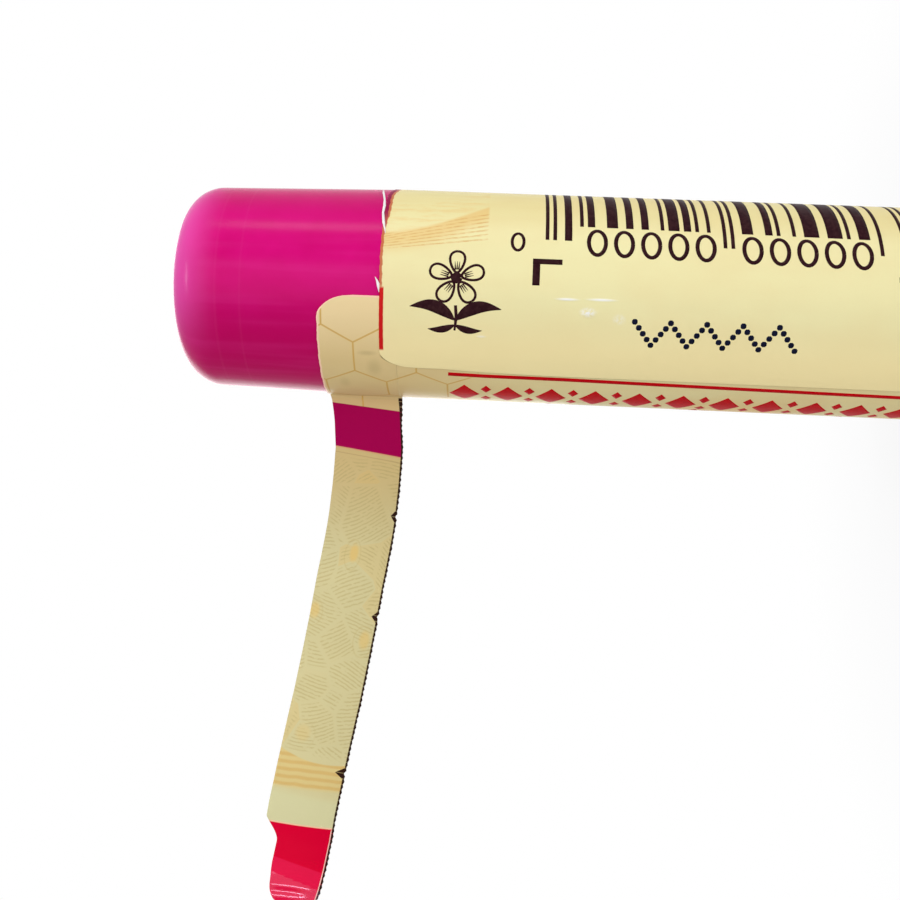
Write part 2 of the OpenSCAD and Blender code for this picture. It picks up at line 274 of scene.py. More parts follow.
def wax():
    p = Paint("balm_wax", srgb(244, 230, 190), 0.38)
    obj = p.coords()
    p.set("Base Color", p.mix(p.step(p.noise(obj, 350.0, 5.0, 0.6), 0.3, 0.75),
                              srgb(246, 234, 198), srgb(238, 220, 172)))
    p.set("Roughness", p.plus(p.times(p.noise(obj, 1400.0), 0.25), 0.28))
    p.scatter(0.35, (0.002, 0.0014, 0.0008))
    p.bump(p.noise(p.place(obj, (1, 1, 3)), 700.0, 4.0, 0.6), 0.25, 0.00006)
    return p.mat


def comb_lines(p, s, arc):
    """1 on the lines of the printed honeycomb."""
    pitch, row = 4.54, 4.54 * math.sqrt(3)

    def cell(ds, da):
        x = p.calc("ABSOLUTE", p.minus(p.calc("FLOORED_MODULO", p.plus(s, ds), pitch), pitch / 2))
        y = p.calc("ABSOLUTE", p.minus(p.calc("FLOORED_MODULO", p.plus(arc, da), row), row / 2))
        slant = p.plus(p.times(x, 0.5), p.times(y, math.sqrt(3) / 2))
        return p.minus(pitch / 2, p.most(x, slant))

    off = p.most(cell(4.25 + pitch / 2, -6.14 + row / 2), cell(4.25, -6.14))    # mm to the nearest line
    return p.fall(off, 0.035, 0.085)


def weave(p, uv, s, arc):
    """Faint patches of parallel lines, most of them across the strip: 1 on a line, and a number a patch."""
    spots = p.place(uv, (0.34, 0.3, 1))
    pick, tone, _ = p.split(p.voronoi(spots, "F1")["Color"])
    angle = p.times(p.minus(pick, 0.5), 1.3)
    bend = p.times(p.calc("SINE", p.plus(p.times(s, 1.1), p.times(tone, 9.0))), 0.16)
    run = p.plus(p.times(arc, p.calc("COSINE", angle)), p.times(s, p.calc("SINE", angle)))
    rough = p.times(p.noise(uv, 2.2, 3.0, 0.6), 0.16)
    hatch = p.fall(p.calc("PINGPONG", p.plus(run, bend, rough), 0.14), 0.02, 0.08)
    inside = p.step(p.voronoi(spots, "DISTANCE_TO_EDGE")["Distance"], 0.02, 0.07)
    breaks = p.step(p.noise(p.place(uv, (1.0, 2.5, 1)), 1.4, 3.0, 0.7), 0.36, 0.5)
    return p.times(hatch, inside, breaks), tone


def film_base(name):
    """The film's clouded cream ground, with its map in mm: s along the tube and arc round it."""
    p = Paint(name, CREAM, 0.3)
    uv = p.coords("UV")
    s, arc, _ = p.split(uv)
    colour = p.mix(p.step(p.noise(uv, 0.13), 0.35, 0.65), CREAM, CREAM_WARM)
    light = p.noise(p.place(uv, (0.25, 1, 1)), 0.35, 2.0)
    colour = p.wash(colour, CREAM_LIGHT, 0.5, p.step(light, 0.4, 0.75))
    colour = p.wash(colour, ORANGE, 0.1, p.step(p.noise(uv, 6.0, 2.0), 0.5, 0.8))
    return p, uv, s, arc, colour


def film_finish(p, uv, colour, extra=0.0, gloss=PRINT_GLOSS, rough=0.16, crease=0.35):
    """Colour, roughness and fine crinkles of the printed film. Extra is added to the crinkles' height."""
    p.set("Base Color", colour)
    p.set("Roughness", p.plus(p.times(p.noise(uv, 3.0), 0.14), rough))
    crinkle = p.noise(p.place(uv, (0.5, 1, 1)), 0.55)
    p.bump(p.plus(crinkle, p.times(p.noise(uv, 9.0, 2.0), 0.04), extra), crease, 0.00012)
    p.set("Specular IOR Level", gloss)
    return p.mat


def blob(p, x, y, cx, cy, rx, ry, soft):
    """1 inside an oval, falling to 0 at its rim."""
    r = p.radius(p.over(p.minus(x, cx), rx), p.over(p.minus(y, cy), ry))
    return p.fall(r, 1.0 - soft, 1.0)


def lap_shadow(p, s, arc):
    """1 in the hairline of shade beside the overlap's free edge and round its corner."""
    wide = p.plus(10.55, p.times(p.step(s, -1.5, 8.0), 1.95))
    x = p.over(p.minus(p.over(arc, ARC), LAP_CORNER - 360), wide)
    y = p.over(p.most(p.minus(AXIS_Z - EDGE_Z + CORNER_R, s), 0.0), CORNER_R)
    e = p.radius(x, y)
    return p.times(p.step(e, 0.99, 1.0), p.fall(e, 1.02, 1.07), p.step(x, 0.2, 0.5))


def under_tone_and_shade(p, arc):
    """The film's warmer colour on the flap and beside the overlap, darker further round towards the strip:
    painted shade there.
    """
    return p.mix(p.step(arc, 2.2, 6.8), srgb(239, 212, 160), srgb(221, 193, 136))


def label_paint():
    """The printed side of the wrapped film."""
    p, uv, s, arc, colour = film_base("label_print")
    lap_arc = p.minus(arc, 360 * ARC)
    # painted light and shade: paler over the front and the overlap, palest towards the overlap's free edge,
    # and a darker band on the front's other side
    colour = p.wash(colour, CREAM_LIGHT, 0.5, p.step(arc, 310 * ARC, 340 * ARC))
    colour = p.wash(colour, srgb(228, 213, 148), 0.5, p.within(lap_arc, -12.0, -5.0, 1.5))
    colour = p.wash(colour, srgb(254, 234, 172), 0.7, p.step(lap_arc, 1.0, 5.5))
    # the layer under it is warmer beside that edge, and darker there as painted shade
    beside = p.fall(arc, 84 * ARC, 100 * ARC)
    fading = p.minus(0.8, p.times(p.step(s, -3.4, 8.0), 0.55))
    colour = p.mix(p.times(beside, fading), colour, under_tone_and_shade(p, arc))
    # honeycomb at the top of the front panel, on that layer
    zone = p.times(p.fall(s, 1.2, 3.2), p.fall(arc, 150.0 * ARC, 154.0 * ARC))
    colour = p.wash(colour, HEX, 0.85, comb_lines(p, s, arc), zone)
    colour = p.mix(p.times(lap_shadow(p, s, arc), beside), colour, SHADE)
    # pale weave over the side panel, and a warm glow in the front panel
    hatch, _ = weave(p, uv, s, arc)
    colour = p.wash(colour, srgb(206, 180, 118), 0.3, hatch, p.within(arc, 156.0 * ARC, 242.0 * ARC, 0.4))
    glow = p.most(blob(p, s, arc, 22.0, 13.6, 8.0, 5.6, 0.8), blob(p, s, arc, 36.0, 13.0, 5.0, 5.0, 0.8))
    colour = p.wash(colour, srgb(240, 178, 84), 0.5, glow)
    # faint orange streaks under a rising wave, on the overlap's side of the print
    crest = p.plus(p.times(p.calc("POWER", p.most(p.plus(s, 4.3), 0.0), 1.7), -0.107), -3.45)
    below = p.minus(lap_arc, crest)
    printed = p.fall(s, 2.75, 2.95)
    colour = p.wash(colour, ORANGE, 0.5, p.step(below, -0.25, 0.15), p.fall(below, 0.5, 2.2), printed)
    run = p.plus(s, 4.27)
    fan = p.over(p.plus(lap_arc, p.times(run, 0.314), 3.35), p.plus(p.times(run, 0.0283), 0.2))
    stroke = p.fall(p.calc("PINGPONG", fan, 0.5), 0.1, 0.28)
    grain = p.step(p.noise(p.place(uv, (0.6, 4, 1)), 1.8, 4.0, 0.7), 0.36, 0.6)
    rows = p.times(p.within(fan, -0.3, 6.3, 0.2), grain, p.times(printed, p.step(below, -0.05, 0.1)))
    colour = p.wash(colour, srgb(214, 160, 84), 0.6, stroke, rows)
    haze = p.step(p.noise(p.place(uv, (0.5, 2.4, 1), 0.2), 0.9, 3.0, 0.6), 0.42, 0.7)
    colour = p.wash(colour, ORANGE, 0.28, p.within(below, -3.2, 0.0, 0.8), printed, haze)
    # torn upper edge: the second map holds the angle along the film and the distance below its edge, mm
    along, depth, _ = p.edge_map()
    rose = p.times(p.fall(along, 318.0, 337.0), p.step(along, 280.0, 290.0))
    tan = p.fall(p.minus(depth, p.plus(0.16, p.times(rose, 0.26))), 0.0, 0.05)
    colour = p.wash(colour, srgb(196, 92, 62), 0.9, p.within(along, 282.0, 365.0, 2.0), tan)
    colour = p.mix(p.times(rose, p.fall(depth, 0.24, 0.3)), colour, srgb(150, 26, 74))
    red = p.times(p.within(along, 365.0, 398.0, 0.8), p.fall(depth, 0.27, 0.33))
    colour = p.mix(red, colour, srgb(204, 30, 32))
    # a trapped bubble and three short creases raised in the overlap's film; the creases are painted white as
    # glints, and two painted glints lie over the bubble and beside it
    lap = p.step(arc, 358 * ARC, 359 * ARC)
    rise = p.times(blob(p, s, lap_arc, 10.1, 2.0, 0.75, 0.4, 0.9), 1.4)
    for at_s, at_arc, length, much in ((8.6, 1.05, 1.1, 0.85), (11.0, 1.0, 1.4, 0.85), (2.7, 3.95, 0.5, 0.4)):
        crease = blob(p, s, lap_arc, at_s, at_arc, length, 0.14, 0.9)
        rise = p.plus(rise, p.times(crease, 0.8))
        colour = p.wash(colour, srgb(252, 252, 250), much, crease, lap)
    # painted glints: a white patch over the bubble and a fainter one beside it
    painted_glints = p.most(blob(p, s, lap_arc, 10.1, 1.9, 0.75, 0.45, 0.9),
                   p.times(blob(p, s, lap_arc, 12.3, 2.3, 0.6, 0.5, 0.9), 0.5))
    colour = p.wash(colour, srgb(250, 250, 252), 0.8, painted_glints, p.step(p.noise(uv, 5.0), 0.36, 0.58), lap)
    return film_finish(p, uv, colour, p.times(rise, lap))


def band_paint(name, gloss, rough, crease):
    """The printed side of the flap and the strip."""
    p, uv, s, arc, colour = film_base(name)
    along = p.minus(arc, CREASE * ARC)      # mm past the crease
    side = p.plus(s, STRIP_MID)             # mm across, + towards the wheel
    half = STRIP_W / 2
    strip = p.step(along, 0.9, 1.0)
    # the flap: its warmer tone with painted shade further round, painted shade along the fold, honeycomb, the
    # overlap's painted shade and a pale rim
    colour = p.mix(0.8, colour, under_tone_and_shade(p, arc))
    colour = p.wash(colour, srgb(212, 184, 132), 0.8, p.step(along, -0.15, 0.1))
    colour = p.wash(colour, HEX, 0.85, comb_lines(p, s, arc), p.minus(1.0, strip))
    colour = p.mix(lap_shadow(p, s, arc), colour, SHADE)
    depth, _, _ = p.edge_map()
    colour = p.wash(colour, srgb(255, 208, 182), 0.85, p.fall(depth, 0.09, 0.15))
    # three faint grey patches on the flap
    for at_s, at_arc, wide, tall, much in ((-5.06, 7.1, 0.8, 1.2, 0.3), (-5.55, 5.7, 0.95, 0.32, 0.34),
                                           (-7.4, 9.0, 0.6, 1.0, 0.2)):
        colour = p.wash(colour, srgb(170, 150, 102), much, blob(p, s, arc, at_s, at_arc, wide, tall, 0.9))
    # the strip's ground, with tone on tone patches of lines, warmer here and there
    ground = p.mix(p.fall(along, 4.0, 13.0), srgb(209, 203, 152), srgb(208, 186, 126))
    colour = p.wash(colour, ground, 0.8, strip)
    hatch, tone = weave(p, uv, s, arc)
    body = p.within(along, 4.9, 27.8, 0.35)
    colour = p.wash(colour, srgb(222, 188, 112), 0.3, p.step(tone, 0.55, 0.95), body)
    colour = p.wash(colour, srgb(184, 166, 108), 0.5, hatch, body)
    # a few yellow drops, each with a thin ring
    for at_u, off, wide, tall, much in ((12.2, -0.15, 0.45, 0.95, 0.6), (17.1, -2.35, 0.55, 0.85, 0.5),
                                        (18.6, 1.9, 0.55, 0.95, 0.5), (26.4, -1.25, 0.8, 0.9, 0.25)):
        ring = p.minus(blob(p, side, along, off - 0.1, at_u + 0.15, wide * 1.5, tall * 1.4, 0.1),
                       blob(p, side, along, off - 0.1, at_u + 0.15, wide * 1.35, tall * 1.27, 0.1))
        colour = p.wash(colour, srgb(190, 166, 100), much * 0.45, ring)
        colour = p.wash(colour, srgb(228, 190, 104), much, blob(p, side, along, off, at_u, wide, tall, 0.6))
    # wave band with streaks above the plain end
    dip = p.times(p.minus(7.2, p.times(side, side)), 0.06)
    crest = p.plus(p.times(side, 0.06), 28.0, dip)
    past = p.minus(along, p.plus(p.times(side, -0.1), 30.5))
    wave = p.times(p.step(p.minus(along, crest), -0.06, 0.06), p.fall(past, -0.25, 0.2))
    run = p.plus(past, p.times(p.noise(p.place(uv, (0.3, 0.1, 1)), 1.0), 0.5))
    streak = p.fall(p.calc("PINGPONG", run, 0.28), 0.06, 0.2)
    colour = p.wash(colour, srgb(222, 192, 116), 0.6, wave)
    colour = p.wash(colour, srgb(206, 160, 78), 0.45, wave, streak)
    colour = p.wash(colour, srgb(211, 209, 161), 0.7, p.step(along, 30.6, 31.4))
    # magenta band and the red finger tab, each cut a little aslant
    begin = p.minus(along, p.plus(p.times(side, 0.096), 0.75))
    end = p.minus(along, p.plus(p.times(side, 0.137), 4.25))
    bar = p.times(p.step(begin, -0.03, 0.03), p.fall(end, -0.03, 0.03))
    colour = p.wash(colour, srgb(226, 130, 110), 0.5, p.within(end, 0.0, 0.08, 0.03))
    colour = p.wash(colour, srgb(150, 110, 70), 0.35, p.within(end, 0.42, 0.48, 0.03))
    colour = p.mix(bar, colour, srgb(165, 0, 77))
    start = p.minus(along, p.minus(33.3, p.times(side, 0.08)))
    # past a slanting line near its end the tab is painted a lighter red, a painted sheen
    gleam = p.step(p.minus(start, p.times(side, 0.2)), 2.75, 2.85)
    colour = p.wash(colour, srgb(250, 190, 160), 0.8, p.within(start, -0.1, 0.0, 0.03))
    colour = p.mix(p.step(start, -0.03, 0.03), colour, p.mix(gleam, srgb(214, 2, 48), srgb(224, 24, 70)))
    # pale line that the tear left along the wheel-side edge, and a dashed dark line of painted shadow under
    # that edge, reaching further in at the nicks
    rim = p.within(side, half - 0.27, half - 0.2, 0.02)
    colour = p.wash(colour, srgb(250, 226, 206), 0.8, rim, p.step(start, 0.0, 0.1))
    dash = p.fall(p.calc("PINGPONG", along, 0.21), 0.17, 0.2)
    shadow_side = side
    for where, cut, shadow_reach in NICKS:
        near = p.minus(1.0, p.over(p.calc("ABSOLUTE", p.minus(along, where)), 0.42))
        shadow_side = p.plus(shadow_side, p.times(p.most(near, 0.0), cut + shadow_reach))
    edge = p.times(p.step(shadow_side, half - 0.22, half - 0.17), p.step(along, -0.2, 0.0))
    colour = p.mix(p.times(p.plus(p.times(dash, 0.4), 0.6), edge), colour, srgb(48, 28, 20))
    if gloss > 0.1:
        p.set("Specular Tint", (0.86, 0.72, 1.0, 1.0))
    return film_finish(p, uv, colour, 0.0, gloss, rough, crease)


def plain_film():
    """The film's unprinted back, milky, with the strip's dark bands just showing through."""
    p = Paint("film_back", srgb(236, 233, 222), 0.4)
    uv = p.coords("UV")
    _, arc, _ = p.split(uv)
    along = p.minus(arc, CREASE * ARC)
    colour = p.mix(p.step(p.noise(uv, 0.5, 2.0), 0.3, 0.7), srgb(241, 238, 229), srgb(237, 234, 222))
    colour = p.wash(colour, srgb(196, 84, 136), 0.16, p.within(along, 0.75, 4.25, 0.25))
    colour = p.wash(colour, srgb(214, 64, 92), 0.14, p.step(along, 33.1, 33.6))
    p.set("Base Color", colour)
    p.set("Roughness", p.plus(p.times(p.noise(uv, 4.0), 0.12), 0.34))
    p.bump(p.noise(uv, 1.5), 0.04, 0.00004)
    p.set("Specular IOR Level", 0.1)
    return p.mat


def ink(name, colour, darker, rough=0.34):
    p = Paint(name, colour, rough)
    obj = p.coords()
    p.set("Base Color", p.mix(p.step(p.noise(obj, 2600.0, 4.0, 0.7), 0.35, 0.75), colour, darker))
    p.set("Roughness", p.plus(p.times(p.noise(obj, 1800.0), 0.15), rough - 0.07))
    p.set("Specular IOR Level", PRINT_GLOSS)
    return p.mat


def torn_white():
    p = Paint("torn_core", srgb(246, 244, 240), 0.7)
    obj = p.coords()
    p.set("Base Color", p.mix(p.noise(obj, 5000.0, 4.0, 0.7), srgb(252, 251, 248), srgb(232, 228, 222)))
    p.bump(p.noise(obj, 9000.0, 4.0, 0.7), 0.6, 0.00003)
    return p.mat


label_mat, back_mat = label_paint(), plain_film()
band_mat = band_paint("band_print", PRINT_GLOSS, 0.16, 0.35)
tab_mat = band_paint("tab_tip_print", 0.55, 0.04, 0.08)
dark_mat = ink("print_dark", DARK, srgb(60, 34, 36))
red_mat = ink("print_red", RED, srgb(182, 4, 18))
navy_mat = ink("print_navy", srgb(14, 18, 38), srgb(24, 28, 52), 0.3)
torn_mat = torn_white()


# Meshes

def make(name, verts, faces, mats, uvs=None, edge=None, pick=None, flat=False):
    """A mesh object from points in mm. uvs and edge are one pair a vertex, pick is a slot number a face."""
    mesh = bpy.data.meshes.new(name)
    mesh.from_pydata([(x * MM, y * MM, z * MM) for x, y, z in verts], [], faces)
    for m in mats:
        mesh.materials.append(m)
    for layer, pairs in (("UVMap", uvs), ("edge", edge)):
        if pairs:
            data = mesh.uv_layers.new(name=layer).data
            for loop in mesh.loops:
                data[loop.index].uv = pairs[loop.vertex_index]
    for poly in mesh.polygons:
        poly.use_smooth = not flat
        if pick:
            poly.material_index = pick[poly.index]
    mesh.validate()
    obj = bpy.data.objects.new(name, mesh)
    bpy.context.collection.objects.link(obj)
    return obj


def closed_faces(rows, cols, first=0):
    """Faces of two grids, one over the other, joined round their rim, and their slots: 0 over, else 1."""
    faces, pick = [], []
    under = rows * cols
    for i in range(rows - 1):
        for j in range(cols - 1):
            a = first + i * cols + j
            b, c, d = a + 1, a + cols, a + 1 + cols
            faces += [(a, b, d, c), (under + a, under + c, under + d, under + b)]
            pick += [0, 1]
    rim = ([(0, j) for j in range(cols)] + [(i, cols - 1) for i in range(1, rows)]
           + [(rows - 1, j) for j in range(cols - 2, -1, -1)] + [(i, 0) for i in range(rows - 2, 0, -1)])
    for (i, j), (m, n) in zip(rim, rim[1:] + rim[:1]):
        a, b = first + i * cols + j, first + m * cols + n
        faces.append((b, a, under + a, under + b))
        pick.append(1)
    return faces, pick


def sheet_solid(top, bottom, uv_grid, edge_grid):
    """Two grids of points, one film thickness apart, closed round their rim."""
    faces, pick = closed_faces(len(top), len(top[0]))
    verts = [point for grid in (top, bottom) for row in grid for point in row]
    uvs = [pair for row in uv_grid for pair in row] * 2
    edge = [pair for row in edge_grid for pair in row] * 2
    return verts, faces, uvs, edge, pick


def at(r, degrees, z):
    t = math.radians(degrees)
    return (-r * math.sin(t), -r * math.cos(t), z)


def lathe(name, profile, mat, steps=160):
    """Closed profile of (r, z) pairs turned round the axis. Points on the axis have r = 0."""
    verts, faces = [], []
    index = []
    for r, z in profile:
        if r == 0:
            index.append([len(verts)] * steps)
            verts.append((0, 0, z))
        else:
            index.append(list(range(len(verts), len(verts) + steps)))
            verts += [(r * math.cos(2 * math.pi * k / steps), r * math.sin(2 * math.pi * k / steps), z)
                      for k in range(steps)]
    for a, b in zip(index, index[1:]):
        for k in range(steps):
            n = (k + 1) % steps
            quad = [a[k], a[n], b[n], b[k]]
            face = [v for m, v in enumerate(quad) if v not in quad[:m]]
            if len(face) > 2:
                faces.append(face)
    return make(name, verts, faces, [mat])


def curve(cx, cy, rx, ry, a0, a1, n):
    """Points of an oval's arc, between two angles in degrees."""
    return [(cx + rx * math.cos(math.radians(a0 + (a1 - a0) * i / n)),
             cy + ry * math.sin(math.radians(a0 + (a1 - a0) * i / n))) for i in range(n + 1)]


def build_cap():
    """Outer shell with its dimple, bore, and the ribs in it."""
    top = CAP_Z + CAP_LEN
    ceiling, wall_top = top - CAP_END_T, top - CAP_ROUND
    lip = 0.06      # radius of the mouth's outer edge
    side = []
    for degrees in (0, 30, 60, 90):
        a = math.radians(degrees)
        side.append((CAP_MOUTH_R - lip + lip * math.sin(a), CAP_Z + lip - lip * math.cos(a)))
    for k in range(1, 9):
        u = k / 9
        side.append((CAP_MOUTH_R + (CAP_END_R - CAP_MOUTH_R) * u, CAP_Z + lip + (wall_top - CAP_Z - lip) * u))
    outer = side + curve(CAP_END_R - CAP_ROUND, wall_top, CAP_ROUND, CAP_ROUND, 0, 90, 18)
    outer += [(3.2, top), (1.55, top), (1.5, top - 0.03), (0.5, top - 0.05), (0, top - 0.05)]
    wall_in = ceiling - CAP_INNER_ROUND
    inner = [(0, ceiling), (2.5, ceiling)]
    inner += curve(CAP_BORE_END_R - CAP_INNER_ROUND, wall_in, CAP_INNER_ROUND, CAP_INNER_ROUND, 90, 0, 12)
    inner += [(CAP_BORE_R, CAP_Z + 0.12), (CAP_BORE_R + 0.12, CAP_Z)]
    cap = lathe("cap_shell", outer, cap_mat)
    bore = lathe("cap_inside", inner + [side[0]], cap_mat)
    root_r = 7.2    # the ribs' feet lie a little way into the wall
    for i in range(CAP_RIBS):
        a = 2 * math.pi * i / CAP_RIBS
        verts = []
        for z, soft in ((RIB_Z, 0.25), (RIB_Z + 0.3, 0.0),
                        (RIB_Z + RIB_LEN - 0.6, 0.0), (RIB_Z + RIB_LEN, 0.3)):
            for y, r in ((-RIB_W / 2, root_r), (-RIB_W / 2 + 0.12, RIB_R + soft),
                         (RIB_W / 2 - 0.12, RIB_R + soft), (RIB_W / 2, root_r)):
                verts.append((r * math.cos(a) - y * math.sin(a),
                              r * math.sin(a) + y * math.cos(a), CAP_Z + z))
        faces = [(4 * k + j, 4 * k + (j + 1) % 4, 4 * k + 4 + (j + 1) % 4, 4 * k + 4 + j)
                 for k in range(3) for j in range(4)] + [(3, 2, 1, 0), (12, 13, 14, 15)]
        rib = make("cap_rib_%d" % (i + 1), verts, faces, [cap_mat], flat=True)
        rib.parent = cap
    bore.parent = cap
    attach(cap, "cap")
    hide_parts("cap")


# height of the film's torn upper edge by angle along the wrap
TOP_EDGE = ((CREASE, UNDER_EDGE_Z), (96, 50.62), (140, 50.85), (200, 51.1), (260, 51.3), (290, 51.5),
            (303, 51.8), (350, 51.8), (366, EDGE_Z), (LAP_CORNER, EDGE_Z))


def film_r(turn, z=0.0):
    """Outer radius of the film at an angle along its wrap. It stands off a little over the cap's mouth."""
    lip = 0.02 * smooth((z - 51.4) / 0.15) * smooth((turn - 280) / 10)
    return INNER_R + lip + (LAP_R - INNER_R - lip) * smooth((turn - 346) / 22.5)


def corner_drop(x):
    """How far an edge of height 1 has dropped round its corner, which runs from x = 0 to 1."""
    return 1 - math.sqrt(max(0.0, 1 - x * x))


def top_edge(turn):
    if turn < CREASE:
        return UNDER_EDGE_Z
    if turn > LAP_CORNER:
        return EDGE_Z - CORNER_R * corner_drop(min(1.0, (turn - LAP_CORNER) / (WRAP_END - LAP_CORNER)))
    torn = 0.04 * wobble(turn * 1.1) * smooth((turn - 93) / 4) * (1 - 0.8 * smooth((turn - 360) / 6))
    return lerp_table(TOP_EDGE, turn) + torn * smooth((LAP_CORNER - turn) / 3)


def lap_end(z):
    """Angle of the film's outer end, which runs a little aslant."""
    return WRAP_END + lerp_table(((6.9, 1.6), (39.7, 1.4), (44.5, 0.6), (47.0, -0.4), (60, -0.6)), z)


def build_label():
    """The wrapped film, from its inner end under the flap to its free outer end."""
    turns = []
    turn = LAP_START
    while turn < WRAP_END:
        turns.append(turn)
        turn += 1.0 if turn < 360 else 0.5
    turns.append(WRAP_END)
    depths = [0, 0.05, 0.1, 0.15, 0.22, 0.32, 0.45, 0.7, 1.1, 1.8, 2.8]     # rows near the torn edge
    rest = 26           # rows below them
    slant_from = 399    # from this angle on the columns lean over to the slanting end
    grids = ([], [], [], [])
    for turn in turns:
        z_top = top_edge(turn)
        last = z_top - depths[-1]
        heights = [z_top - d for d in depths]
        heights += [last + (LABEL_Z - last) * (k + 1) / rest for k in range(rest)]
        rows = ([], [], [], [])
        for z in heights:
            angle = turn
            if turn > slant_from:
                angle = slant_from + (turn - slant_from) / (WRAP_END - slant_from) * (lap_end(z) - slant_from)
            r = film_r(turn, z)
            rows[0].append(at(r, angle, z))
            rows[1].append(at(r - FILM, angle, z))
            rows[2].append((AXIS_Z - z, angle * ARC))
            rows[3].append((turn, z_top - z))
        for grid, row in zip(grids, rows):
            grid.append(row)
    verts, faces, uv, ed, pick = sheet_solid(*grids)
    faces = [tuple(reversed(f)) for f in faces]
    label = make("label_wrap", verts, faces, [label_mat, back_mat], uv, ed, pick)
    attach(label, "barrel")
    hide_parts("label")


def lean(u):
    """The strip's lean towards the cap at a distance u along it."""
    first, last = LEAN_SHARES
    return math.radians(STRIP_LEAN * smooth((u / STRIP_LEN - first) / (last - first)))


def fore(u):
    """The strip's turn towards the front, which grows over the curl at its tip."""
    return math.radians(STRIP_FORE + TIP_CURL * max(0.0, u - STRIP_LEN + CURL_LEN) / CURL_LEN)


def strip_axes(u):
    a, b = lean(u), fore(u)
    head = Vector((-math.cos(a) * math.cos(b), -math.cos(a) * math.sin(b), math.sin(a)))
    across = Vector((math.sin(a) * math.cos(b), math.sin(a) * math.sin(b), math.cos(a)))
    out = Vector((math.sin(b), -math.cos(b), 0))
    return head, across, out


def tip_loss(u):
    """How far the rounded tip takes each side in."""
    plain = STRIP_END - TIP_R
    return 0.0 if u <= plain else TIP_R - math.sqrt(max(0.0, TIP_R ** 2 - (u - plain) ** 2))


def notch_loss(u):
    """How far the cap side is cut in at the finger tab."""
    return TAB_CUT * smooth((u - STRIP_LEN + TAB_LEN) / 1.7) ** 0.7 + 0.34 * smooth((u - 36.2) / 2.6)


# how far the strip bows towards the wheel, mm, by distance along it
BOW = ((0, 0), (0.9, 0.12), (2.8, 0.3), (4, 0.42), (8, 0.35), (14, 0.37), (18, 0.47), (23, 0.52), (27, 0.45),
       (32, 0.43), (34, 0.5), (40.4, 0.5))


def torn_side(u):
    """How far the torn edge stands in from the cut line, mm."""
    tooth = 0.06 * abs(math.sin(math.pi * u / 0.42)) + 0.02 * wobble(u * 3.1, 1.0)
    nick = sum(cut * max(0.0, 1 - abs(u - where) / 0.25) for where, cut, _ in NICKS)
    return (tooth + nick) * smooth(u / 0.5) * smooth((STRIP_END - 0.8 - u) / 0.8)


